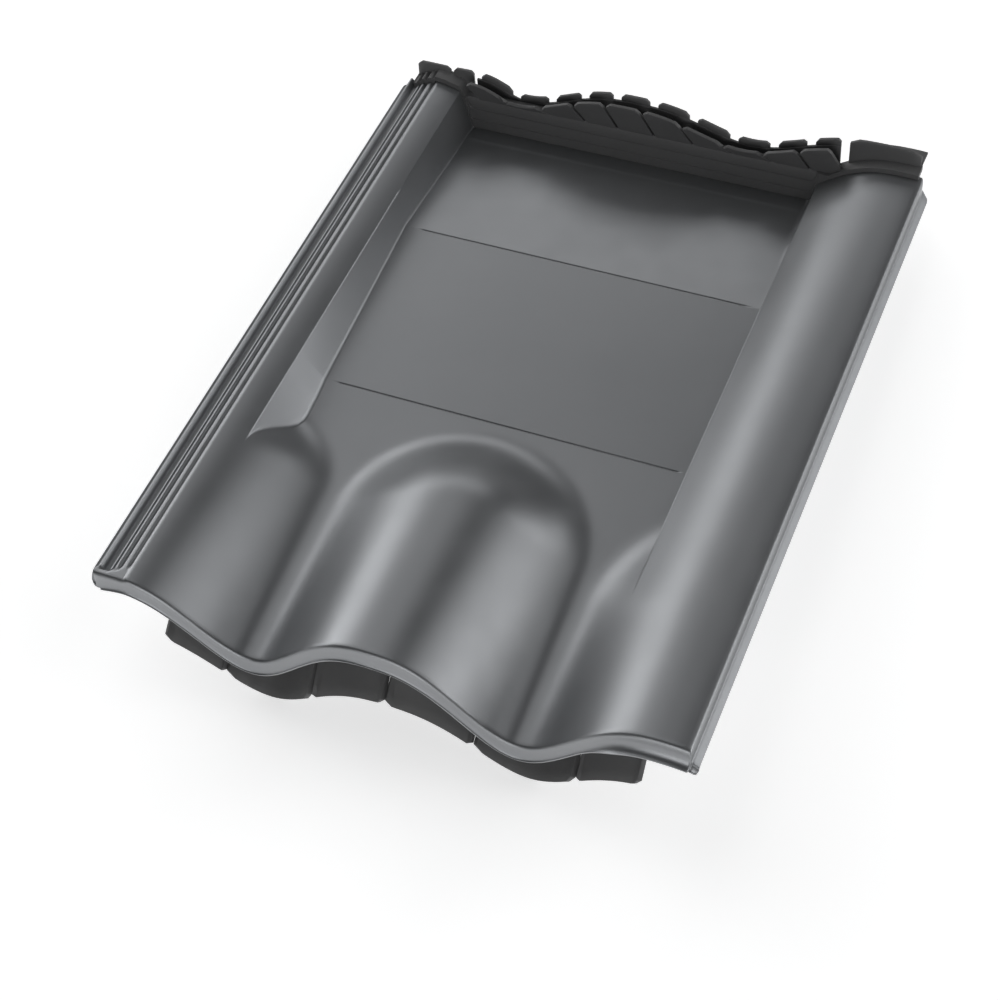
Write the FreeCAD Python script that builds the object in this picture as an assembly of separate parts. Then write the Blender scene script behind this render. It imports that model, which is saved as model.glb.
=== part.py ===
"""Metal roof tile: one pressed sheet with a rubber seal at its head and one at its foot."""
import FreeCAD
import Part
import math
import os

doc = FreeCAD.newDocument("metal_roof_tile")
sizes = doc.addObject("Spreadsheet::Sheet", "Sizes")

ROWS = [
    ("tile_width", 330.0, "side flange to side flange"),
    ("sheet_length", 400.0, "foot face to head edge of the pressed sheet"),
    ("sheet_gauge", 1.0, "thickness of the coated sheet"),
    ("skirt_drop", 9.5, "height of the turned-down foot skirt"),
    ("corner_skirt", 2.5, "how far the skirt hangs under the left flange and ribs"),
    ("skirt_bend", 2.5, "outer radius of the bend above the skirt"),
    ("foot_lip", 1.0, "small lip turned out along the skirt"),
    ("foot_flange", 3.6, "wider lip over the cover roll"),
    ("side_flange", 3.9, "flat flange down each side"),
    ("cover_flange_rise", 3.0, "height of the right flange over the left one"),
    ("left_crest_across", 14.0, "left half wave, place across"),
    ("left_crest_rise", 12.0, "left half wave, height"),
    ("pan_one_across", 88.0, "first valley, place across"),
    ("mid_crest_across", 161.0, "middle wave, place across"),
    ("mid_crest_rise", 13.0, "middle wave, height"),
    ("pan_two_across", 235.0, "second valley, place across"),
    ("cover_crest_across", 313.0, "cover roll, place across"),
    ("cover_crest_rise", 14.0, "cover roll, height"),
    ("wave_fullness", 1.3, "how broad the crests are against the valleys"),
    ("left_wave_end", 104.0, "where the left wave starts to round down"),
    ("left_wave_round", 51.0, "length of that rounding"),
    ("mid_wave_end", 100.0, "where the middle wave starts to round down"),
    ("mid_wave_round", 67.0, "length of that rounding"),
    ("cover_wave_end", 82.0, "where the flank of the cover roll starts to round off"),
    ("cover_wave_round", 84.0, "length of that rounding"),
    ("field_rise", -10.0, "level of the flat field"),
    ("pan_one_rise", -28.5, "level that the first valley falls to at the foot"),
    ("pan_two_rise", -31.5, "level that the second valley falls to at the foot"),
    ("field_head_rise", -20.0, "level that the field falls to at the head"),
    ("fold_low", 172.0, "lower fold and groove, from the foot"),
    ("fold_high", 296.0, "upper fold and groove, from the foot"),
    ("groove_depth", 0.5, "depth of the two grooves"),
    ("groove_width", 1.3, "width of the two grooves"),
    ("low_groove_left", 61.0, "lower groove, left end"),
    ("low_groove_right", 258.0, "lower groove, right end"),
    ("high_groove_left", 56.0, "upper groove, left end"),
    ("high_groove_right", 255.5, "upper groove, right end"),
    ("ledge_edge", 39.5, "outer edge of the raised ledge on the left"),
    ("ledge_foot_high", 45.3, "foot of the ledge wall, at the upper fold"),
    ("ledge_foot_low", 53.0, "foot of the ledge wall, at its lower end"),
    ("ledge_low_end", 160.0, "lower end of the ledge wall"),
    ("ledge_round", 1.2, "rounding where the ledge meets the field and the left wave"),
    ("roll_round", 1.5, "rounding where the cover roll meets the field"),
    ("round_grows", 25.0, "length over which those roundings grow from nothing"),
    ("roll_foot", 264.5, "foot of the cover roll along the field"),
    ("roll_wall_slope", 3.5, "steepness of the wall under the cover roll"),
    ("ribs_start", 8.0, "where the interlock ribs begin, from the foot"),
    ("seal_front", 396.6, "front face of the head seal, from the foot"),
    ("seal_body_depth", 9.0, "depth of the head seal's body"),
    ("seal_body_rise", 23.0, "height of the head seal's body over the field"),
    ("seal_lean", 8.0, "how far the front lip leans back towards the foot"),
    ("seal_lip_thick", 2.0, "thickness of the seal's lips"),
    ("seal_slit", 1.6, "width of the slits in the lips"),
    ("seal_back_reach", 11.0, "how far the rear flange reaches past the body"),
    ("foot_seal_root", 46.0, "root of the foot seal, from the foot"),
    ("foot_seal_front", 1.5, "lower edge of the foot seal, from the foot"),
    ("foot_seal_thick", 3.0, "thickness of the foot seal"),
    ("foot_seal_drop_crest", 33.0, "how far under the side flange the flaps hang at a crest"),
    ("foot_seal_drop_pan", 61.5, "how far under the side flange the flaps hang at a valley"),
    ("foot_seal_slit", 1.4, "width of the slits between the flaps"),
    ("foot_seal_left", 38.0, "left end of the foot seal"),
    ("foot_seal_right", 299.0, "right end of the foot seal"),
]

for row, (alias, value, note) in enumerate(ROWS, start=1):
    sizes.set("A%d" % row, alias)
    sizes.set("B%d" % row, str(value))
    sizes.set("C%d" % row, note)
    sizes.setAlias("B%d" % row, alias)
doc.recompute()


def size(alias):
    return float(sizes.get(alias))


S = {alias: size(alias) for alias, value, note in ROWS}
V = FreeCAD.Vector


def fullness(share):
    """How much of a wave's height is left, from 1 at its crest to 0 at its edge."""
    share = min(share, 1.0) ** S["wave_fullness"]
    return (1.0 + math.cos(math.pi * share)) / 2.0


def half_wave(x, crest_x, crest_z, pan_x, pan_z):
    """Height between one crest and one valley."""
    return pan_z + (crest_z - pan_z) * fullness(abs(x - crest_x) / abs(pan_x - crest_x))


def blend(low, high, value):
    """Smooth step from 0 at low to 1 at high."""
    share = min(max((value - low) / (high - low), 0.0), 1.0)
    return share * share * (3.0 - 2.0 * share)


def soft_max(a, b, radius):
    """The larger of two heights, rounded where they cross."""
    if radius <= 0.0:
        return max(a, b)
    gap = max(radius - abs(a - b), 0.0) / radius
    return max(a, b) + gap * gap * radius / 4.0


def field(x, y):
    """Level of the field, flat between its two folds."""
    if y < S["fold_low"]:
        span = S["pan_two_across"] - S["pan_one_across"]
        across = min(max((x - S["pan_one_across"]) / span, 0.0), 1.0)
        foot = S["pan_one_rise"] + (S["pan_two_rise"] - S["pan_one_rise"]) * across
        return foot + (S["field_rise"] - foot) * y / S["fold_low"]
    if y > S["fold_high"]:
        share = (y - S["fold_high"]) / (S["sheet_length"] - S["fold_high"])
        return S["field_rise"] + (S["field_head_rise"] - S["field_rise"]) * share
    return S["field_rise"]


def dome(x, y, wave_name, pan_name):
    """A wave over the field that rounds down towards the head."""
    crest = S[wave_name + "_crest_across"]
    across = (x - crest) / (S[pan_name + "_across"] - crest)
    along = max(y - S[wave_name + "_wave_end"], 0.0) / S[wave_name + "_wave_round"]
    base = field(x, y)
    return base + (S[wave_name + "_crest_rise"] - base) * fullness(math.hypot(across, along))


def straight_wave(x, y, wave_name, pan_name):
    """The same wave where it runs on straight to the head."""
    crest = S[wave_name + "_crest_across"]
    share = abs(x - crest) / abs(S[pan_name + "_across"] - crest)
    base = field(x, min(y, S[wave_name + "_wave_end"]))
    return base + (S[wave_name + "_crest_rise"] - base) * fullness(share)


def ledge(x, y):
    """The raised ledge on the left and its wall down to the field."""
    edge = S["ledge_edge"]
    if x <= edge:
        return straight_wave(max(x, S["left_crest_across"]), y, "left", "pan_one")
    share = min(max((y - S["ledge_low_end"]) / (S["fold_high"] - S["ledge_low_end"]), 0.0), 1.0)
    foot = S["ledge_foot_low"] + (S["ledge_foot_high"] - S["ledge_foot_low"]) * share
    top = straight_wave(edge, y, "left", "pan_one")
    return top - (x - edge) * (top - field(x, y)) / (foot - edge)


def cover_roll(x, y):
    """The roll down the right side, with the short wall at its foot."""
    below = max(S["roll_foot"] - x, 0.0)
    return straight_wave(x, y, "cover", "pan_two") - below * S["roll_wall_slope"]


def groove(x, y, line_y, left, right):
    """Depth of one pressed groove."""
    if not left <= x <= right:
        return 0.0
    share = abs(y - line_y) / (S["groove_width"] / 2.0)
    if share >= 1.0:
        return 0.0
    return S["groove_depth"] * (1.0 + math.cos(math.pi * share)) / 2.0


def press(x, y):
    """Top height of the pressed sheet inside its ribs, skirt and flanges."""
    height = field(x, y)
    if x < S["pan_one_across"]:
        height = max(height, dome(max(x, S["left_crest_across"]), y, "left", "pan_one"))
        end = S["left_wave_end"]
        height = soft_max(height, ledge(x, y), S["ledge_round"] * blend(end, end + S["round_grows"], y))
    elif x < S["mid_crest_across"]:
        height = max(height, dome(x, y, "mid", "pan_one"))
    elif x < S["pan_two_across"]:
        height = max(height, dome(x, y, "mid", "pan_two"))
    else:
        height = max(height, dome(x, y, "cover", "pan_two"))
        end = S["cover_wave_end"]
        height = soft_max(height, cover_roll(x, y), S["roll_round"] * blend(end, end + S["round_grows"], y))
    height -= groove(x, y, S["fold_low"], S["low_groove_left"], S["low_groove_right"])
    height -= groove(x, y, S["fold_high"], S["high_groove_left"], S["high_groove_right"])
    return height


RIBS = [(0.0, 0.0), (2.0, 0.0), (3.9, 0.0), (4.5, 6.6), (5.2, 7.4), (6.0, 7.0), (6.8, 1.8), (8.6, 1.0),
        (10.4, 1.8), (11.1, 4.6), (11.9, 4.6), (12.5, 3.0), (13.2, 3.0), (13.9, 7.6), (15.2, 8.2),
        (16.3, 7.8), (16.9, 6.2), (17.6, 6.4), (18.2, 9.2), (20.0, 9.8), (21.8, 9.6), (22.4, 8.6),
        (23.0, 9.8)]


def rib_height(x):
    """Height of the interlock ribs on the left side."""
    for (x0, z0), (x1, z1) in zip(RIBS, RIBS[1:]):
        if x0 <= x <= x1:
            return z0 + (z1 - z0) * (x - x0) / (x1 - x0)
    return RIBS[-1][1]


def across_stations():
    """Places across the sheet at which the surface is set."""
    places = [x for x, z in RIBS]
    places += [24.5, 27.0, 30.0, 33.0, 35.5, 37.5, 38.7, 39.5, 40.3, 41.5, 43.0, 44.3, 45.3, 46.3]
    places += [48.0, 50.0, 52.0, 54.0, 57.0, 60.0]
    places += [60.0 + 5.0 * step for step in range(1, 40)]
    places += [258.0, 260.5, 262.5, 263.8, 264.6, 265.6, 267.0, 269.0, 272.0, 276.0]
    places += [280.0, 285.0, 290.0, 295.0, 300.0, 305.0, 310.0, 315.0, 319.0, 322.0, 324.0]
    return places


def along_stations():
    """Places along the sheet at which the surface is set."""
    low, high = S["fold_low"], S["fold_high"]
    places = [3.0, 5.0, 8.0, 12.0, 17.0]
    places += [17.0 + 7.0 * step for step in range(1, 21)]
    places += [low - 5.0, low - 2.0, low - 0.9, low - 0.4, low, low + 0.4, low + 0.9, low + 2.0, low + 5.0]
    places += [190.0, 205.0, 220.0, 235.0, 250.0, 265.0, 278.0, 287.0]
    places += [high - 5.0, high - 2.0, high - 0.9, high - 0.4, high, high + 0.4, high + 0.9]
    places += [high + 2.0, high + 5.0, 310.0, 325.0, 340.0, 355.0, 370.0, 382.0, 391.0, 397.0, 400.0]
    return sorted(set(p for p in places if p <= S["sheet_length"]))


def plateau(x):
    """Height in front of the ribs, where the sheet closes round the corner."""
    flange = S["side_flange"]
    return 9.8 * blend(flange, flange + 1.4, x)


def top_height(x, y):
    """Top height inside the right bend, with the ribs on the left."""
    if x > RIBS[-1][0]:
        return press(x, y)
    share = blend(3.0, S["ribs_start"] + 2.0, y)
    return rib_height(x) * share + plateau(x) * (1.0 - share)


def column(x):
    """One line of points from the head to the lower end of the bend, and the skirt and lip under it."""
    points = [V(x, y, top_height(x, y)) for y in reversed(along_stations())]
    inner = [point - V(0, 0, S["sheet_gauge"]) for point in points]
    reach = S["skirt_bend"]
    gauge = S["sheet_gauge"]
    top = top_height(x, 0.0)
    low = top - S["skirt_drop"]
    if x < RIBS[-1][0]:
        low = -S["corner_skirt"]
    bend = min(reach, (top - low) * 0.45)
    inner_bend = max(bend - gauge, bend * 0.4)
    for degrees in (90.0, 60.0, 30.0, 0.0):
        turn = math.radians(degrees)
        points.append(V(x, reach - reach * math.cos(turn), top - bend + bend * math.sin(turn)))
        y = reach - (reach - gauge) * math.cos(turn)
        inner.append(V(x, y, top - bend + inner_bend * math.sin(turn)))
    wide = blend(262.0, 285.0, x)
    lip = S["foot_lip"] + (S["foot_flange"] - S["foot_lip"]) * wide
    skirt = [V(x, 0.0, low), V(x, -lip, low)]
    inner_skirt = [V(x, gauge, low - gauge), V(x, -lip, low - gauge)]
    return points, inner, skirt, inner_skirt


def make_surface(grid):
    surface = Part.BSplineSurface()
    surface.interpolate(grid)
    return surface


def close_solid(top, under):
    """One solid between two grids of points."""
    upper = make_surface(top).toShape()
    lower = make_surface(under).toShape()
    faces = [upper, lower]
    for a in upper.Edges:
        b = min(lower.Edges, key=lambda e: (e.CenterOfMass - a.CenterOfMass).Length)
        faces.append(Part.makeRuledSurface(a, b))
    shell = Part.makeShell(faces)
    shell.sewShape()
    solid = Part.makeSolid(Part.Shell(shell.Faces))
    if solid.Volume < 0:
        solid.reverse()
    return solid


def curve_edge(points, places):
    curve = Part.BSplineCurve()
    curve.interpolate(Points=points, Parameters=places)
    return curve.toShape()


def strips(edges):
    return [Part.makeRuledSurface(a, b) for a, b in zip(edges, edges[1:])]


def strip_solid(top, under, top_skirt, under_skirt):
    """One solid from lines of points: a narrow strip between each line and the next, on both sides."""
    faces = []
    model = top[len(top) // 2]
    places = [0.0]
    for start, end in zip(model, model[1:]):
        places.append(places[-1] + (end - start).Length)
    for side in (0, -1):
        faces.append(Part.makeRuledSurface(curve_edge(top[side], places), curve_edge(under[side], places)))
    for lines, skirts in ((top, top_skirt), (under, under_skirt)):
        faces += strips([curve_edge(line, places) for line in lines])
        faces += strips([Part.makeLine(line[-1], skirt[0]) for line, skirt in zip(lines, skirts)])
        faces += strips([Part.makeLine(skirt[0], skirt[1]) for skirt in skirts])
    for over, below in (([line[0] for line in top], [line[0] for line in under]),
                        ([line[-1] for line in top_skirt], [line[-1] for line in under_skirt])):
        faces += strips([Part.makeLine(a, b) for a, b in zip(over, below)])
    for side in (0, -1):
        over = [top[side][-1]] + top_skirt[side]
        below = [under[side][-1]] + under_skirt[side]
        faces += strips([Part.makeLine(a, b) for a, b in zip(over, below)])
    shell = Part.makeShell(faces)
    shell.sewShape()
    solid = Part.makeSolid(Part.Shell(shell.Faces))
    if solid.Volume < 0:
        solid.reverse()
    return solid


def sheet_shape():
    """The pressed sheet as one solid."""
    columns = [column(x) for x in across_stations()]
    edge = S["tile_width"]
    wall = edge - S["side_flange"]
    last = columns[-1]
    flange_z = S["cover_flange_rise"]
    foot_top = top_height(across_stations()[-1], 0.0)

    def side(x, inner_x, drop_share):
        """A line of the right bend, wall and flange."""
        result = []
        for line, place in zip(last, (x, inner_x, x, inner_x)):
            moved = []
            for point in line:
                hang = max(foot_top - point.z, 0.0) / S["skirt_drop"]
                target = flange_z - S["corner_skirt"] * hang
                moved.append(V(place, point.y, point.z + (target - point.z) * drop_share))
            result.append(moved)
        return result

    gauge = S["sheet_gauge"]
    columns.append(side(wall - 0.7, wall - 0.7 - gauge * 0.5, 0.06))
    columns.append(side(wall, wall - gauge, 0.25))
    columns.append(side(wall, wall - gauge, 0.9))
    columns.append(side(wall + 0.5, wall - gauge * 0.4, 1.0))
    columns.append(side(edge, edge, 1.0))
    top, under, top_skirt, under_skirt = zip(*columns)
    return strip_solid(top, under, top_skirt, under_skirt)


def add_feature(label, shape):
    feature = doc.addObject("Part::Feature", label)
    feature.Label = label
    feature.Shape = shape
    return feature


def stations(start, end, step):
    """Even places from start to end, both included."""
    count = max(int(round((end - start) / step)), 1)
    return [start + (end - start) * index / count for index in range(count + 1)]


def plate(low, high, y_front, depth):
    """A plate across the tile between two lines of (x, z) points."""
    outline = [V(x, y_front, z) for x, z in low] + [V(x, y_front, z) for x, z in reversed(high)]
    outline.append(outline[0])
    return Part.Face(Part.makePolygon(outline)).extrude(V(0, depth, 0))


def seal_top(x):
    """Top of the seal's rear lip: the wave of the tile laid above."""
    if x <= 46.0:
        return 17.5
    if x <= 80.0:
        return half_wave(x, 46.0, 17.5, 80.0, 7.5)
    if x <= 151.0:
        return half_wave(x, 151.0, 24.0, 80.0, 7.5)
    if x <= 222.0:
        return half_wave(x, 151.0, 24.0, 222.0, 10.0)
    if x <= 301.0:
        return half_wave(x, 301.0, 27.0, 222.0, 10.0)
    return half_wave(x, 301.0, 27.0, 380.0, 10.0)


def seal_ground(x):
    """Sheet height under the head seal."""
    return max(top_height(x, y) for y in (396.0, 398.0, 400.0)) + 0.35


def body_top(x):
    return max(S["field_head_rise"] + S["seal_body_rise"], seal_ground(x) + 3.5)


def head_seal_shape():
    """Body, two rows of lips and a rear flange, moulded as one."""
    front = S["seal_front"]
    depth = S["seal_body_depth"]
    left, right = 8.0, 323.0
    places = sorted(set(stations(left, 46.0, 1.5) + stations(46.0, 264.0, 6.0) + stations(264.0, right, 1.5)))
    ground = [(x, seal_ground(x)) for x in places]
    tops = [(x, body_top(x)) for x in places]
    pieces = [plate(ground, tops, front, depth)]
    lip = S["seal_lip_thick"]
    slit = S["seal_slit"] / 2.0
    cuts = [left, 32.0, 47.0, 72.0, 95.5, 117.0, 137.5, 160.5, 185.0, 210.0, 234.5, 256.5, 276.5, right]
    for start, end in zip(cuts, cuts[1:]):
        span = stations(start + slit, end - slit, 4.0)
        low = [(x, body_top(x) - 1.0) for x in span]
        high = [(x, seal_top(x)) for x in span]
        pieces.append(plate(low, high, front + depth - lip, lip))
    lean = FreeCAD.Rotation(V(1, 0, 0), 20.0)
    for start, end in zip(cuts[2:-1], cuts[3:-1]):
        span = stations(start + slit, end - slit, 4.0)
        low = [(x, body_top(x) - 1.0) for x in span]
        high = [(x, seal_top(x) - 1.5) for x in span]
        pieces.append(plate(low, high, front, lip))
    span = stations(287.0, right, 4.0)
    low = [(x, seal_ground(x) + 2.0) for x in span]
    high = [(x, seal_ground(x) + 4.0) for x in span]
    pieces.append(plate(low, high, front + depth - 0.5, S["seal_back_reach"]))
    return pieces[0].fuse(pieces[1:]).removeSplitter()


def foot_seal_low(x):
    """Lower edge of the foot seal."""
    crest = -S["foot_seal_drop_crest"]
    pan = -S["foot_seal_drop_pan"]
    if x <= 94.0:
        return half_wave(x, 15.0, crest, 94.0, pan)
    if x <= 165.0:
        return half_wave(x, 165.0, crest, 94.0, pan)
    if x <= 239.0:
        return half_wave(x, 165.0, crest, 239.0, pan)
    return half_wave(x, 311.0, crest, 239.0, pan)


SLITS = [70.0, 119.5, 163.5, 210.5, 264.5]


def foot_seal_shape():
    """A sloping skirt under the foot, slit into six flaps."""
    left, right = S["foot_seal_left"], S["foot_seal_right"]
    ends = [left] + SLITS + [right]
    places = stations(left, right, 5.0)
    for end in ends:
        places += [end - 4.0, end - 2.0, end - 0.9, end, end + 0.9, end + 2.0, end + 4.0]
    places = sorted(set(round(x, 2) for x in places if left <= x <= right))
    root = S["foot_seal_root"]
    front = S["foot_seal_front"]
    thick = S["foot_seal_thick"]
    outer = []
    inner = []
    for x in places:
        gap = min(abs(x - end) for end in ends)
        corner = 4.0 - math.sqrt(16.0 - (4.0 - gap) ** 2) if gap < 4.0 else 0.0
        low = foot_seal_low(x) + corner
        band = [top_height(x, y) - S["sheet_gauge"] - 0.7 for y in (root + 12.0, root + 6.0, root)]
        line = [V(x, root + 12.0, band[0]), V(x, root + 6.0, band[1]), V(x, root, band[2])]
        ways = [V(0, 0, -1), V(0, 0, -1), V(0, 0.7, -0.9)]
        for share in (0.12, 0.4, 0.7, 0.9, 1.0):
            line.append(V(x, root + (front - root) * share, band[2] + (low - band[2]) * share))
            ways.append(V(0, 1.3, -0.3 * (1.0 - share)))
        outer.append(line)
        inner.append([point + way * thick for point, way in zip(line, ways)])
    solid = close_solid(outer, inner)
    for x in SLITS:
        half = S["foot_seal_slit"] / 2.0
        solid = solid.cut(Part.makeBox(2.0 * half, root - 6.0, 120.0, V(x - half, -4.0, -90.0)))
    return solid


sheet = add_feature("tile_sheet", sheet_shape())
head_seal = add_feature("head_seal", head_seal_shape())
foot_seal = add_feature("foot_seal", foot_seal_shape())
doc.recompute()

PARTS = [sheet, head_seal, foot_seal]


def lay_down():
    """Turn the tile to lie on its foot seal and its head, centred over the origin."""
    foot_y, foot_z = S["foot_seal_front"], -S["foot_seal_drop_pan"]
    head_y, head_z = S["sheet_length"], S["field_head_rise"] - S["sheet_gauge"]
    angle = -math.degrees(math.atan2(head_z - foot_z, head_y - foot_y))
    turn = FreeCAD.Placement(V(0, 0, 0), FreeCAD.Rotation(V(1, 0, 0), angle))
    for part in PARTS:
        part.Placement = turn
    box = PARTS[0].Shape.BoundBox
    for part in PARTS[1:]:
        box.add(part.Shape.BoundBox)
    shift = V(-box.Center.x, -box.Center.y, -box.ZMin)
    for part in PARTS:
        part.Placement = FreeCAD.Placement(shift, turn.Rotation)
    print("lay angle", angle, "box", box.XLength, box.YLength, box.ZLength, "shift", shift)


lay_down()
doc.recompute()
os.makedirs("parts", exist_ok=True)
for part in PARTS:
    problems = [state for state in part.State if state in ("Invalid", "Error")]
    shape = part.Shape
    if problems or shape.isNull() or not shape.isValid():
        raise RuntimeError("%s did not build" % part.Label)
    print(part.Label, "solids", len(shape.Solids), "faces", len(shape.Faces), "volume", round(shape.Volume))
    shape.exportStep("parts/%s.step" % part.Label)
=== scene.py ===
import bpy
import math
import numpy as np
from mathutils import Matrix, Vector

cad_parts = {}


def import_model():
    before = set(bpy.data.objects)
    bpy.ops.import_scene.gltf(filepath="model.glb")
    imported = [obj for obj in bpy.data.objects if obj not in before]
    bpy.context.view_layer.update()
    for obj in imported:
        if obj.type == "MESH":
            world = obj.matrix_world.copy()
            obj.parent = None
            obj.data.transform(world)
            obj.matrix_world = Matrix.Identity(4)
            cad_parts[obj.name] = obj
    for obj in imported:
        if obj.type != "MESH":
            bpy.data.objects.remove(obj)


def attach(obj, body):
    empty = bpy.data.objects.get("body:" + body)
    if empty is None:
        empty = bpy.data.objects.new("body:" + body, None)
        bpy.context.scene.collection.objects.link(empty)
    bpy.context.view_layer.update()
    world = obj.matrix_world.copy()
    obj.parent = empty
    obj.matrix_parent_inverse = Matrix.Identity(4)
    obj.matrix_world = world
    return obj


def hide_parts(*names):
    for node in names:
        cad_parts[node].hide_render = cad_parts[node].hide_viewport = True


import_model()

# Sizes are in millimetres in the tile's own frame: x across from the ribbed side, y from the foot,
# z up from the left flange. The last step lays the tile down on the floor, in metres.
MM = 0.001
LAY_ANGLE = math.radians(-5.8031)
LAY_SHIFT = Vector((-165.0, -205.2904, 61.9236))
LAY = Matrix.Translation(LAY_SHIFT * MM) @ Matrix.Rotation(LAY_ANGLE, 4, "X") @ Matrix.Scale(MM, 4)

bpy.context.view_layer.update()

WIDTH = 330.0
LENGTH = 400.0
GAUGE = 0.9
SKIRT_DROP = 9.5
SKIRT_BEND = 2.4
FULLNESS = 1.3
# Each wave: place across, height, half width on each side, where it starts to round off, how long that takes.
LEFT_WAVE = (14.0, 12.0, 74.0, 74.0, 104.0, 51.0)
MID_WAVE = (161.0, 13.0, 73.0, 74.0, 100.0, 67.0)
COVER_WAVE = (313.0, 14.0, 78.0, 78.0, 82.0, 84.0)
PAN_ONE, PAN_TWO = (88.0, -28.5), (235.0, -31.5)
FIELD, FIELD_HEAD = -10.0, -20.0
FOLD_LOW, FOLD_HIGH = 172.0, 296.0
LEDGE_EDGE = 39.5
LEDGE_LOW_END = 160.0
ROLL_FOOT = 264.5
ROLL_WALL_SLOPE = 3.5
LEDGE_ROUND, ROLL_ROUND, ROUND_GROWS = 1.8, 2.4, 25.0
LEDGE_FOOT_LOW, LEDGE_FOOT_HIGH = 53.0, 45.3
GROOVE_HALF_WIDTH, GROOVE_DEPTH = 0.75, 0.55
LOW_GROOVE, HIGH_GROOVE = (61.0, 258.0), (56.0, 255.5)
STEP_START, STEP_END, STEP_RISE = 383.5, 386.5, 0.22
RIB_END = 23.0
COVER_FLANGE = 3.0
COVER_WALL = 326.1
BEND_START = 324.3


def step(low, high, value):
    share = min(max((value - low) / (high - low), 0.0), 1.0)
    return share * share * (3.0 - 2.0 * share)


def soft_max(a, b, radius):
    if radius <= 0.0:
        return max(a, b)
    gap = max(radius - abs(a - b), 0.0) / radius
    return max(a, b) + gap * gap * radius / 4.0


def fullness(share):
    """How much of a wave's height is left, from 1 at its crest to 0 at its edge."""
    return (1.0 + math.cos(math.pi * min(share, 1.0) ** FULLNESS)) / 2.0


def half_wave(x, crest, pan):
    return pan[1] + (crest[1] - pan[1]) * fullness(abs(x - crest[0]) / abs(pan[0] - crest[0]))


def field(x, y):
    """Level of the lowered field, with its two folds."""
    if y < FOLD_LOW:
        share = min(max((x - PAN_ONE[0]) / (PAN_TWO[0] - PAN_ONE[0]), 0.0), 1.0)
        foot = PAN_ONE[1] + (PAN_TWO[1] - PAN_ONE[1]) * share
        return foot + (FIELD - foot) * y / FOLD_LOW
    if y > FOLD_HIGH:
        return FIELD + (FIELD_HEAD - FIELD) * (y - FOLD_HIGH) / (LENGTH - FOLD_HIGH) + head_step(y)
    return FIELD


def head_step(y):
    """The faint step that runs along in front of the head seal."""
    return STEP_RISE * step(STEP_START, STEP_END, y)


def dome(x, y, wave, straight=False):
    """A wave over the field: it rounds off towards the head, or runs on straight."""
    crest, rise, left, right, end, length = wave
    across = abs(x - crest) / (left if x < crest else right)
    beyond = max(y - end, 0.0) / length
    base = field(x, min(y, end) if straight else y)
    share = across if straight else math.hypot(across, beyond)
    return base + (rise - base) * fullness(share)


def ledge_foot(y):
    share = min(max((y - LEDGE_LOW_END) / (FOLD_HIGH - LEDGE_LOW_END), 0.0), 1.0)
    return LEDGE_FOOT_LOW + (LEDGE_FOOT_HIGH - LEDGE_FOOT_LOW) * share


def ledge(x, y):
    if x <= LEDGE_EDGE:
        return dome(max(x, LEFT_WAVE[0]), y, LEFT_WAVE, True)
    top = dome(LEDGE_EDGE, y, LEFT_WAVE, True)
    return top - (x - LEDGE_EDGE) * (top - field(x, y)) / (ledge_foot(y) - LEDGE_EDGE)


def groove(x, y, line_y, left, right):
    beyond = max(left - x, x - right, 0.0)
    share = math.hypot(abs(y - line_y), beyond) / GROOVE_HALF_WIDTH
    if share >= 1.0:
        return 0.0
    return GROOVE_DEPTH * (1.0 + math.cos(math.pi * share)) / 2.0


def press(x, y):
    """Top height of the sheet between the ribs and the right bend."""
    height = field(x, y)
    if x < PAN_ONE[0]:
        height = max(height, dome(max(x, LEFT_WAVE[0]), y, LEFT_WAVE))
        rounding = LEDGE_ROUND * step(LEFT_WAVE[4], LEFT_WAVE[4] + ROUND_GROWS, y)
        height = soft_max(height, ledge(x, y), rounding)
    elif x < PAN_TWO[0]:
        height = max(height, dome(x, y, MID_WAVE))
    else:
        height = max(height, dome(x, y, COVER_WAVE))
        roll = dome(x, y, COVER_WAVE, True) - max(ROLL_FOOT - x, 0.0) * ROLL_WALL_SLOPE
        rounding = ROLL_ROUND * step(COVER_WAVE[4], COVER_WAVE[4] + ROUND_GROWS, y)
        height = soft_max(height, roll, rounding)
    height -= groove(x, y, FOLD_LOW, *LOW_GROOVE)
    height -= groove(x, y, FOLD_HIGH, *HIGH_GROOVE)
    return height


RIBS = [(0.0, 1.2), (3.4, 0.2), (4.2, 5.4), (4.9, 6.9), (5.8, 7.0), (6.7, 5.9), (7.8, 3.6), (8.6, 3.2), (9.8, 3.4),
        (10.6, 4.2), (11.3, 5.8), (12.0, 5.9), (12.7, 5.0), (13.3, 5.2), (14.0, 7.4), (14.7, 8.2), (15.7, 8.2),
        (16.5, 7.6), (17.1, 7.0), (17.7, 7.2), (18.4, 9.0), (19.0, 9.7), (21.0, 9.9), (21.8, 9.4), (22.3, 9.0),
        (22.7, 9.4), (RIB_END, 10.2)]


def ribs(x):
    return float(np.interp(x, [r[0] for r in RIBS], [r[1] for r in RIBS]))


def top_height(x, y):
    if x > RIB_END:
        return press(x, y)
    nose = 6.0 + 4.0 * step(12.0, 22.0, x)
    share = step(nose - 3.0, nose + 2.0, y)
    plateau = 10.2 * step(3.8, 5.4, x)
    return ribs(x) * share + plateau * (1.0 - share)


def world(x, y, z):
    return LAY @ Vector((x, y, z))


def only(obj):
    """Selects one object alone and makes it active."""
    bpy.ops.object.select_all(action="DESELECT")
    obj.select_set(True)
    bpy.context.view_layer.objects.active = obj


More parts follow.
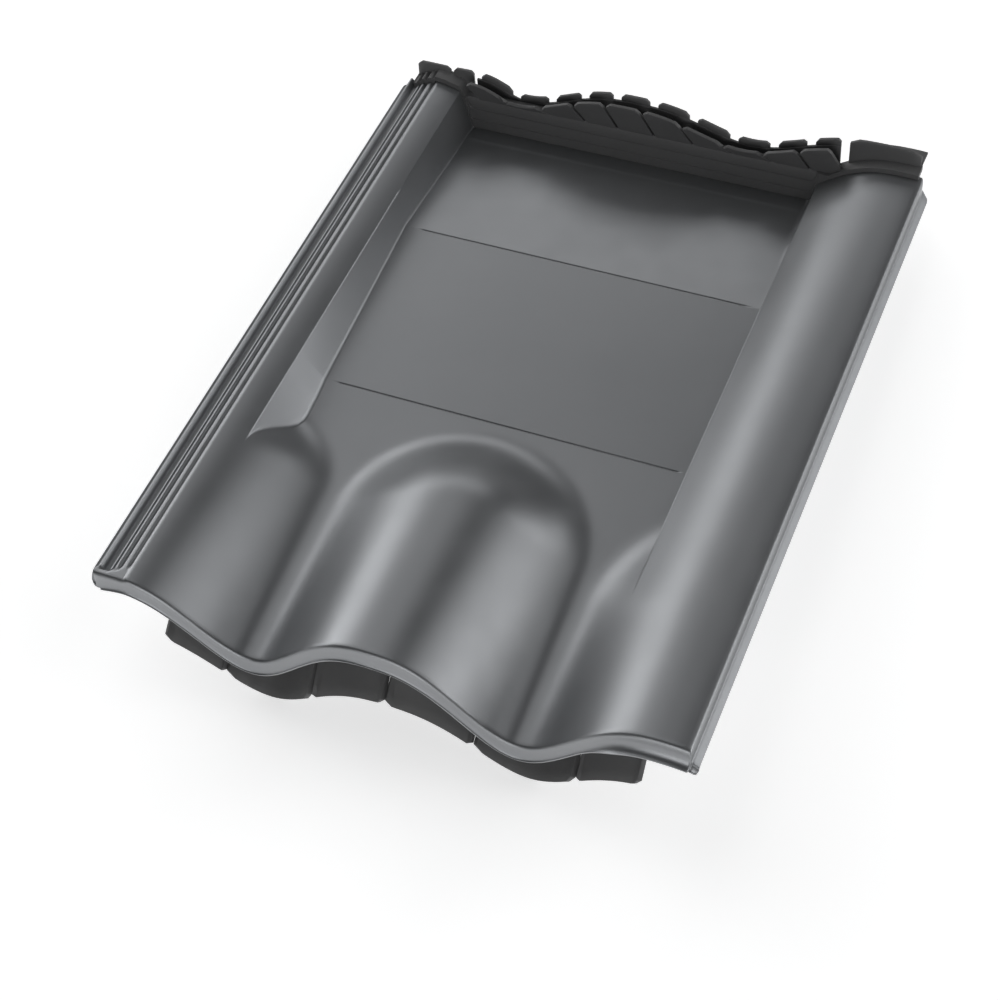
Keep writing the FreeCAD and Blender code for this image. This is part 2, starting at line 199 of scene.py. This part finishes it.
def grid_piece(name, columns, rows, place):
    """A fine grid laid over a shape: place(i, j) gives the point for each column and row."""
    bpy.ops.object.select_all(action="DESELECT")
    bpy.ops.mesh.primitive_grid_add(x_subdivisions=columns - 1, y_subdivisions=rows - 1, size=2.0)
    obj = bpy.context.active_object
    obj.name = name
    obj.data.name = name
    coords = np.empty(len(obj.data.vertices) * 3)
    obj.data.vertices.foreach_get("co", coords)
    coords = coords.reshape(-1, 3)
    for index in range(len(coords)):
        i = int(round((coords[index, 0] + 1.0) / 2.0 * (columns - 1)))
        j = int(round((coords[index, 1] + 1.0) / 2.0 * (rows - 1)))
        coords[index] = place(i, j)
    obj.data.vertices.foreach_set("co", coords.ravel())
    obj.data.update()
    return obj


def thicken(obj, thickness, bevel=0.0, offset=-1.0):
    """Gives a surface its thickness, and rounds the edges."""
    only(obj)
    solid = obj.modifiers.new("thickness", "SOLIDIFY")
    solid.thickness = thickness * MM
    solid.offset = offset
    solid.use_even_offset = False
    bpy.ops.object.modifier_apply(modifier=solid.name)
    if bevel:
        round_edges(obj, bevel)


def round_edges(obj, width, segments=2):
    only(obj)
    soft = obj.modifiers.new("rounding", "BEVEL")
    soft.width = width * MM
    soft.segments = segments
    soft.limit_method = "ANGLE"
    soft.angle_limit = math.radians(50.0)
    bpy.ops.object.modifier_apply(modifier=soft.name)


def smooth(obj, degrees=40.0):
    only(obj)
    bpy.ops.object.shade_smooth_by_angle(angle=math.radians(degrees))


def outward(obj):
    only(obj)
    bpy.ops.object.mode_set(mode="EDIT")
    bpy.ops.mesh.select_all(action="SELECT")
    bpy.ops.mesh.remove_doubles(threshold=0.00001)
    bpy.ops.mesh.normals_make_consistent(inside=False)
    bpy.ops.object.mode_set(mode="OBJECT")


def join(name, objs):
    bpy.ops.object.select_all(action="DESELECT")
    for obj in objs:
        obj.select_set(True)
    bpy.context.view_layer.objects.active = objs[0]
    bpy.ops.object.join()
    joined = bpy.context.active_object
    joined.name = name
    joined.data.name = name
    return joined


# ---- the pressed sheet ----

def spread(start, end, count):
    return [start + (end - start) * k / count for k in range(count)]


def across_stations():
    """Column places, as the stretch of the sheet they lie on and their place in it."""
    result = []
    for (x0, z0), (x1, z1) in zip(RIBS, RIBS[1:]):
        result += [("fixed", x) for x in spread(x0, x1, 3 if x1 - x0 > 1.0 else 2)]
    result += [("fixed", x) for x in spread(RIB_END, LEDGE_EDGE - 1.5, 9)]
    result += [("fixed", x) for x in spread(LEDGE_EDGE - 1.5, LEDGE_EDGE + 1.5, 8)]
    result += [("wall", s) for s in spread(0.0, 1.0, 8)]
    result += [("wallfoot", s) for s in spread(-1.2, 1.2, 8)]
    result += [("field", s) for s in spread(0.0, 1.0, 108)]
    result += [("rollfoot", s) for s in spread(-2.6, 1.0, 14)]
    result += [("roll", s) for s in spread(0.0, 1.0, 30)]
    return result


def across(station, y):
    kind, value = station
    foot = ledge_foot(y)
    if kind == "fixed":
        return value
    if kind == "wall":
        return LEDGE_EDGE + 1.5 + (foot - 1.2 - LEDGE_EDGE - 1.5) * value
    if kind == "wallfoot":
        return foot + value
    if kind == "field":
        return foot + 1.2 + (ROLL_FOOT - 2.6 - foot - 1.2) * value
    if kind == "rollfoot":
        return ROLL_FOOT + value
    return ROLL_FOOT + 1.0 + (BEND_START - ROLL_FOOT - 1.0) * value


def along_stations():
    rows = [LENGTH, 399.6, 399.0, 398.0, 396.0, 392.5, 389.0, 387.5, 386.5, 385.8, 385.0, 384.2, 383.5]
    rows += spread(382.0, FOLD_HIGH + 2.5, 17)
    for line, next_line in ((FOLD_HIGH, FOLD_LOW), (FOLD_LOW, None)):
        near = [1.6, 1.0, 0.75, 0.55, 0.35, 0.18]
        rows += [line + 2.5] + [line + d for d in near] + [line] + [line - d for d in reversed(near)]
        if next_line:
            rows += spread(line - 2.5, next_line + 2.5, 24)
    rows += spread(FOLD_LOW - 2.5, 22.0, 66)
    rows += spread(22.0, SKIRT_BEND, 18)
    return rows


def rounded_corner(x, y, corner_x, corner_y, reach):
    """Rounds a square corner of the sheet in plan."""
    u = (x - corner_x) / reach
    v = (y - corner_y) / reach
    if abs(u) > 1.0 or abs(v) > 1.0:
        return x, y
    a = 1.0 - abs(u)
    b = 1.0 - abs(v)
    new_a = a * math.sqrt(1.0 - b * b / 2.0)
    new_b = b * math.sqrt(1.0 - a * a / 2.0)
    sign_x = 1.0 if corner_x < WIDTH / 2.0 else -1.0
    sign_y = 1.0 if corner_y < LENGTH / 2.0 else -1.0
    return corner_x + sign_x * reach * (1.0 - new_a), corner_y + sign_y * reach * (1.0 - new_b)


def finish_point(x, y, z):
    if x < 9.0 and y < 8.0:
        x, y = rounded_corner(x, y, 0.0, -1.3, 9.0)
    if x > WIDTH - 4.0 and y < 0.0:
        x, y = rounded_corner(x, y, WIDTH, -4.0, 4.0)
    if x > WIDTH - 8.0 and y > LENGTH - 8.0:
        x, y = rounded_corner(x, y, WIDTH, LENGTH, 7.0)
    if x < 4.0 and y > LENGTH - 4.0:
        x, y = rounded_corner(x, y, 0.0, LENGTH, 3.0)
    return world(x, y, z)


STATIONS = across_stations()
ROWS = along_stations()
SKIRT = 16
SIDE = 14


def lip_width(x):
    return 1.2 + 3.0 * step(268.0, 292.0, x)


def column_point(x, j):
    """Point j of one column: the rows along the sheet, then the bend, skirt and lip."""
    if j < len(ROWS):
        y = ROWS[j]
        return x, y, top_height(x, y)
    k = j - len(ROWS)
    top = top_height(x, SKIRT_BEND)
    low = (top - SKIRT_DROP) if x > RIB_END else -1.0 + 3.0 * step(4.0, RIB_END, x)
    bend = min(SKIRT_BEND, max(top - low, 0.0) * 0.45)
    if k < 6:
        turn = math.radians(90.0 - 15.0 * (k + 1))
        return x, SKIRT_BEND - SKIRT_BEND * math.cos(turn), top - bend + bend * math.sin(turn)
    sweep = math.radians(90.0) * (k - 5) / (SKIRT - 6)
    out = 0.7 + lip_width(x)
    return x, -out * (1.0 - math.cos(sweep)), (top - bend) + (low - top + bend) * math.sin(sweep)


def sheet_point(i, j):
    """Column i and row j of the whole pressed sheet."""
    j = len(ROWS) + SKIRT - 1 - j
    y_here = ROWS[j] if j < len(ROWS) else SKIRT_BEND
    if i < len(STATIONS):
        return finish_point(*column_point(across(STATIONS[i], y_here), j))
    k = i - len(STATIONS)
    x, y, z = column_point(BEND_START, j)
    foot_top = top_height(BEND_START, SKIRT_BEND)
    hang = max(foot_top - z, 0.0) / SKIRT_DROP if j >= len(ROWS) else 0.0
    floor_z = COVER_FLANGE + 1.2 - 2.2 * hang
    bend = min(1.8, (z - floor_z) * 0.45)
    if k < 5:
        turn = math.radians(90.0 - 18.0 * (k + 1))
        return finish_point(BEND_START + 1.8 * math.cos(turn), y, z - bend + bend * math.sin(turn))
    if k < 8:
        share = (k - 4) / 3.0
        return finish_point(COVER_WALL, y, z - bend + (floor_z + 0.3 * bend - z + bend) * share)
    if k < 10:
        turn = math.radians(45.0 * (k - 7))
        return finish_point(COVER_WALL + 0.6 - 0.6 * math.cos(turn), y, floor_z + 0.3 * bend * (1.0 - math.sin(turn)))
    share = (k - 9) / 4.0
    return finish_point(COVER_WALL + 0.6 + (WIDTH - COVER_WALL - 0.6) * share, y, floor_z - 2.4 * share)


sheet = grid_piece("pressed_sheet", len(STATIONS) + SIDE, len(ROWS) + SKIRT, sheet_point)
thicken(sheet, GAUGE)
smooth(sheet, 50.0)
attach(sheet, "root")
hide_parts("tile_sheet")


# ---- the head seal ----

SEAL_FRONT = 396.6
SEAL_DEPTH = 9.0
BODY_LEVEL = 3.0
LIP = 2.0
SLIT = 1.6
SEAL_LEFT, SEAL_RIGHT = 8.0, 323.0
CUTS = [SEAL_LEFT, 32.0, 47.0, 72.0, 95.5, 117.0, 137.5, 160.5, 185.0, 210.0, 234.5, 256.5, 276.5, SEAL_RIGHT]


def seal_top(x):
    """Top of the rear lips: the wave of the tile that lies above."""
    if x <= 46.0:
        return 17.5
    if x <= 80.0:
        return half_wave(x, (46.0, 17.5), (80.0, 7.5))
    if x <= 151.0:
        return half_wave(x, (151.0, 24.0), (80.0, 7.5))
    if x <= 222.0:
        return half_wave(x, (151.0, 24.0), (222.0, 10.0))
    return half_wave(x, (301.0, 27.0), (222.0, 10.0))


def seal_ground(x):
    return max(top_height(x, 396.0), top_height(x, 399.9)) + 0.2


def body_top(x):
    return max(BODY_LEVEL, seal_ground(x) + 3.5)


def body_section(x):
    """Outline of the seal's body at one place, as (y, z) points."""
    low = seal_ground(x)
    high = body_top(x)
    tall = high - low
    deep = 0.9 if tall > 10.0 else 0.0
    points = [(0.0, 0.0)]
    steps = [(0.28, 0.0), (0.30, deep), (0.33, deep), (0.62, deep * 1.2), (0.64, deep * 2.0),
             (0.68, deep * 2.0), (0.96, deep * 2.2), (1.0, deep * 2.2 + 0.5)]
    for share, out in steps:
        points.append((out, tall * share))
    points += [(SEAL_DEPTH * 0.5, tall), (SEAL_DEPTH, tall), (SEAL_DEPTH, tall * 0.5), (SEAL_DEPTH, 0.0),
               (SEAL_DEPTH * 0.5, 0.0), (0.0, 0.0)]
    return [(SEAL_FRONT + y, low + z) for y, z in points]


body_places = sorted(set(
    [round(x, 3) for x in spread(SEAL_LEFT, 50.0, 60)] + [round(x, 3) for x in spread(50.0, 260.0, 30)]
    + [round(x, 3) for x in spread(260.0, SEAL_RIGHT, 40)] + [SEAL_RIGHT]))
sections = [body_section(x) for x in body_places]


def body_point(i, j):
    y, z = sections[i][j]
    return world(body_places[i], y, z)


body = grid_piece("seal_body", len(body_places), len(sections[0]), body_point)
outward(body)
bpy.ops.object.mode_set(mode="EDIT")
bpy.ops.mesh.select_all(action="DESELECT")
bpy.ops.mesh.select_mode(type="EDGE")
bpy.ops.mesh.select_non_manifold()
bpy.ops.mesh.fill()
bpy.ops.object.mode_set(mode="OBJECT")
outward(body)


def lip_piece(name, start, end, low, high, y_low, y_high, slant):
    """One lip: an upright tongue with rounded top corners."""
    columns, rows = 9, 7

    def place(i, j):
        across_share = i / (columns - 1)
        up_share = j / (rows - 1)
        x = start + (end - start) * across_share
        corner = 1.0 - abs(2.0 * across_share - 1.0)
        drop = 2.2 * max(0.0, 1.0 - corner * 4.0) ** 2
        z_low, z_high = low(x), high(x) - drop
        x += slant * (up_share - 0.5)
        return world(x, y_low + (y_high - y_low) * up_share, z_low + (z_high - z_low) * up_share)

    lip = grid_piece(name, columns, rows, place)
    thicken(lip, LIP, bevel=0.35, offset=0.0)
    return lip


lips = []
for start, end in zip(CUTS, CUTS[1:]):
    y = SEAL_FRONT + SEAL_DEPTH - LIP / 2.0
    left_gap = SLIT / 2 if start < 40.0 else 4.0
    right_gap = SLIT / 2 if end > 300.0 else 1.2
    lips.append(lip_piece("rear_lip", start + left_gap, end - right_gap, lambda x: body_top(x) - 1.0,
                          seal_top, y, y + 1.0, 0.0))
for start, end in zip(CUTS[2:-1], CUTS[3:-1]):
    y = SEAL_FRONT + 3.2
    lips.append(lip_piece("front_lip", start + SLIT / 2, end - SLIT / 2, lambda x: body_top(x) - 1.0,
                          lambda x: seal_top(x) - 1.5, y, y - 3.2, -7.0))


def wall_point(i, j):
    x = CUTS[2] + 1.0 + (CUTS[-2] - CUTS[2] - 2.0) * i / 80.0
    low, high = body_top(x) - 1.0, max(body_top(x), seal_top(x) - 4.0)
    return world(x, SEAL_FRONT + SEAL_DEPTH - LIP / 2.0, low + (high - low) * j / 4.0)


rear_wall = grid_piece("rear_wall", 81, 5, wall_point)
thicken(rear_wall, LIP * 0.8, bevel=0.3, offset=0.0)
lips.append(rear_wall)


def flange_point(i, j):
    x = 287.0 + (SEAL_RIGHT - 287.0) * i / 20.0
    y = SEAL_FRONT + SEAL_DEPTH - 1.0 + 12.0 * j / 6.0
    return world(x, y, seal_ground(x) + 4.5 - 1.5 * j / 6.0)


back_flange = grid_piece("back_flange", 21, 7, flange_point)
thicken(back_flange, 2.0, bevel=0.4, offset=0.0)
head_seal = join("moulded_head_seal", [body, back_flange] + lips)
smooth(head_seal, 35.0)
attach(head_seal, "root")
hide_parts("head_seal")


# ---- the foot seal ----

FLAP_ENDS = [38.0, 70.0, 119.5, 163.5, 210.5, 264.5, 299.0]
ROOT = 46.0
FLAP_THICK = 3.0


def flap_low(x):
    if x <= 94.0:
        return half_wave(x, (15.0, -33.0), (94.0, -61.5))
    if x <= 165.0:
        return half_wave(x, (165.0, -33.0), (94.0, -61.5))
    if x <= 239.0:
        return half_wave(x, (165.0, -33.0), (239.0, -61.5))
    return half_wave(x, (311.0, -33.0), (239.0, -61.5))


def flap_piece(start, end):
    columns, rows = 17, 12

    def place(i, j):
        share = i / (columns - 1)
        x = start + (end - start) * share
        gap = min(x - start, end - x)
        corner = 4.0 - math.sqrt(16.0 - (4.0 - gap) ** 2) if gap < 4.0 else 0.0
        root_z = top_height(x, ROOT) - GAUGE - 1.6
        s = j / (rows - 1)
        low = flap_low(x) + corner * s
        sag = 1.5 * math.sin(math.pi * s)
        return world(x, ROOT + (1.5 - ROOT) * s, root_z + (low - root_z) * s + sag)

    flap = grid_piece("foot_flap", columns, rows, place)
    thicken(flap, FLAP_THICK, bevel=0.5, offset=0.0)
    return flap


def band_point(i, j):
    x = FLAP_ENDS[0] + (FLAP_ENDS[-1] - FLAP_ENDS[0]) * i / 90.0
    y = ROOT + 12.0 - 13.0 * j / 5.0
    return world(x, y, top_height(x, y) - GAUGE - 1.6)


flaps = [flap_piece(a + 0.7 * (a > 39.0), b - 0.7 * (b < 298.0)) for a, b in zip(FLAP_ENDS, FLAP_ENDS[1:])]
band = grid_piece("root_band", 91, 6, band_point)
thicken(band, 2.4, bevel=0.4, offset=0.0)
foot_seal = join("slit_foot_seal", [band] + flaps)
outward(foot_seal)
smooth(foot_seal, 35.0)
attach(foot_seal, "root")
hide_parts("foot_seal")


# ---- finishes ----

def new_material(name):
    material = bpy.data.materials.new(name)
    material.use_nodes = True
    nodes = material.node_tree.nodes
    shader = nodes["Principled BSDF"]
    return material, nodes, material.node_tree.links, shader


def noise(nodes, links, source, scale, detail=3.0):
    node = nodes.new("ShaderNodeTexNoise")
    node.inputs["Scale"].default_value = scale
    node.inputs["Detail"].default_value = detail
    links.new(source, node.inputs["Vector"])
    return node.outputs["Fac"]


def ramp(nodes, links, source, low, high, start=0.3, end=0.7):
    node = nodes.new("ShaderNodeMapRange")
    node.inputs["From Min"].default_value = start
    node.inputs["From Max"].default_value = end
    node.inputs["To Min"].default_value = low
    node.inputs["To Max"].default_value = high
    links.new(source, node.inputs["Value"])
    return node.outputs["Result"]


def mix_colour(nodes, links, fac, low, high):
    node = nodes.new("ShaderNodeMix")
    node.data_type = "RGBA"
    node.inputs["A"].default_value = (*low, 1.0)
    node.inputs["B"].default_value = (*high, 1.0)
    links.new(fac, node.inputs["Factor"])
    return node.outputs["Result"]


def bump(nodes, links, shader, height, strength, distance):
    node = nodes.new("ShaderNodeBump")
    node.inputs["Strength"].default_value = strength
    node.inputs["Distance"].default_value = distance
    links.new(height, node.inputs["Height"])
    links.new(node.outputs["Normal"], shader.inputs["Normal"])


def satin_coat():
    """Dark grey satin coating with a fine orange peel."""
    material, nodes, links, shader = new_material("satin_coat")
    place = nodes.new("ShaderNodeTexCoord").outputs["Object"]
    shader.inputs["Metallic"].default_value = 0.82
    cloud = noise(nodes, links, place, 9.0, 4.0)
    coat_colour = mix_colour(nodes, links, cloud, (0.225, 0.232, 0.242), (0.262, 0.268, 0.277))
    links.new(coat_colour, shader.inputs["Base Color"])
    links.new(ramp(nodes, links, noise(nodes, links, place, 60.0, 5.0), 0.38, 0.42), shader.inputs["Roughness"])
    bump(nodes, links, shader, noise(nodes, links, place, 1500.0, 2.0), 0.06, 0.0002)
    return material


def rubber():
    """Matt black moulded rubber with a fine grain."""
    material, nodes, links, shader = new_material("seal_rubber_grain")
    place = nodes.new("ShaderNodeTexCoord").outputs["Object"]
    cloud = noise(nodes, links, place, 40.0, 5.0)
    rubber_colour = mix_colour(nodes, links, cloud, (0.072, 0.072, 0.073), (0.090, 0.090, 0.091))
    links.new(rubber_colour, shader.inputs["Base Color"])
    links.new(ramp(nodes, links, noise(nodes, links, place, 120.0, 4.0), 0.52, 0.66), shader.inputs["Roughness"])
    shader.inputs["Specular IOR Level"].default_value = 0.5
    bump(nodes, links, shader, noise(nodes, links, place, 1800.0, 3.0), 0.2, 0.0003)
    return material


def dress(obj, material):
    obj.data.materials.clear()
    obj.data.materials.append(material)


coat = satin_coat()
black = rubber()
dress(sheet, coat)
dress(head_seal, black)
dress(foot_seal, black)


# ---- floor, light and camera ----

def floor_material():
    material = bpy.data.materials.new("pale_floor")
    material.use_nodes = True
    nodes, links = material.node_tree.nodes, material.node_tree.links
    nodes.clear()
    diffuse = nodes.new("ShaderNodeBsdfDiffuse")
    diffuse.inputs["Color"].default_value = (0.86, 0.86, 0.86, 1.0)
    glow = nodes.new("ShaderNodeEmission")
    path = nodes.new("ShaderNodeLightPath")
    seen = nodes.new("ShaderNodeMath")
    seen.operation = "MULTIPLY"
    seen.inputs[1].default_value = FLOOR_SEEN
    links.new(path.outputs["Is Camera Ray"], seen.inputs[0])
    mirrored = nodes.new("ShaderNodeMath")
    mirrored.operation = "MULTIPLY_ADD"
    mirrored.inputs[1].default_value = FLOOR_MIRRORED
    links.new(path.outputs["Is Glossy Ray"], mirrored.inputs[0])
    links.new(seen.outputs[0], mirrored.inputs[2])
    links.new(mirrored.outputs[0], glow.inputs["Strength"])
    both = nodes.new("ShaderNodeAddShader")
    links.new(diffuse.outputs[0], both.inputs[0])
    links.new(glow.outputs[0], both.inputs[1])
    out = nodes.new("ShaderNodeOutputMaterial")
    links.new(both.outputs[0], out.inputs["Surface"])
    return material


FLOOR_SEEN, FLOOR_MIRRORED = 0.58, 0.75
# AMBIENT and FLOOR_MIRRORED belong to the same solve as the powers in LAMPS.
AMBIENT = 0.03
bpy.ops.object.select_all(action="DESELECT")
bpy.ops.mesh.primitive_plane_add(size=30.0, location=(0.0, 0.0, -0.0005))
floor = bpy.context.active_object
floor.name = "floor"
dress(floor, floor_material())

scene = bpy.context.scene
world_data = bpy.data.worlds.new("studio")
scene.world = world_data
world_data.use_nodes = True
wn, wl = world_data.node_tree.nodes, world_data.node_tree.links
wn.clear()
around = wn.new("ShaderNodeBackground")
around.inputs["Color"].default_value = (0.9, 0.95, 1.0, 1.0)
around.inputs["Strength"].default_value = AMBIENT
white = wn.new("ShaderNodeBackground")
white.inputs["Color"].default_value = (1.0, 1.0, 1.0, 1.0)
white.inputs["Strength"].default_value = 1.0
rays = wn.new("ShaderNodeLightPath")
pick = wn.new("ShaderNodeMixShader")
wl.new(rays.outputs["Is Camera Ray"], pick.inputs[0])
wl.new(around.outputs[0], pick.inputs[1])
wl.new(white.outputs[0], pick.inputs[2])
world_out = wn.new("ShaderNodeOutputWorld")
wl.new(pick.outputs[0], world_out.inputs["Surface"])


def softbox(name, direction, distance, size, watts, colour=(1.0, 1.0, 1.0)):
    way = Vector(direction).normalized()
    data = bpy.data.lights.new(name, "AREA")
    data.shape = "RECTANGLE"
    data.size, data.size_y = size
    data.energy = watts
    data.color = colour
    obj = bpy.data.objects.new(name, data)
    scene.collection.objects.link(obj)
    obj.location = way * distance
    obj.rotation_mode = "QUATERNION"
    obj.rotation_quaternion = (-way).to_track_quat("-Z", "Y")
    return obj


# Each lamp: name, the way it stands from the tile, its distance, its size, its power.
# These powers were solved for by another program (least squares), not set by hand: a fault left open.
LAMPS = [
    ("left_back_box", (-0.74, 0.52, 0.40), 2.2, (1.5, 1.1), 11.8),
    ("right_back_box", (0.72, 0.60, 0.36), 2.2, (1.2, 1.0), 8.4),
    ("back_box", (-0.25, 0.85, 0.42), 2.4, (1.2, 0.8), 4.9),
    ("overhead", (-0.30, 0.25, 1.0), 2.4, (1.2, 1.2), 4.5),
    ("front_fill", (0.10, -1.0, 0.35), 2.6, (2.4, 1.2), 23.7),
    ("left_high", (-0.80, 0.25, 0.75), 2.3, (1.2, 1.2), 4.0),
    ("left_low", (-0.95, 0.15, 0.22), 2.3, (1.4, 0.7), 9.8),
    ("back_high", (-0.35, 0.65, 0.80), 2.3, (1.0, 1.0), 0.8),
    ("right_high", (0.60, 0.30, 0.80), 2.3, (1.0, 1.0), 3.1),
    ("right_low", (0.95, 0.10, 0.25), 2.3, (1.4, 0.8), 16.3),
]
for lamp in LAMPS:
    softbox(*lamp)

# Lens, place and directions come from a least-squares fit in another program.
LENS = 73.8
EYE = Vector((495.5, -461.3, 828.8))
RIGHT = Vector((0.9205, 0.38189, -0.08276))
UP = Vector((-0.25371, 0.7452, 0.61669))
turn = Matrix.Rotation(LAY_ANGLE, 3, "X")
camera_data = bpy.data.cameras.new("camera")
camera = bpy.data.objects.new("camera", camera_data)
scene.collection.objects.link(camera)
camera_data.sensor_width = 36.0
camera_data.lens = LENS
right = (turn @ RIGHT).normalized()
up = (turn @ UP).normalized()
back = right.cross(up).normalized()
camera.matrix_world = Matrix.Translation(LAY @ EYE) @ Matrix((right, up, back)).transposed().to_4x4()
scene.camera = camera
scene.view_settings.view_transform = "Standard"
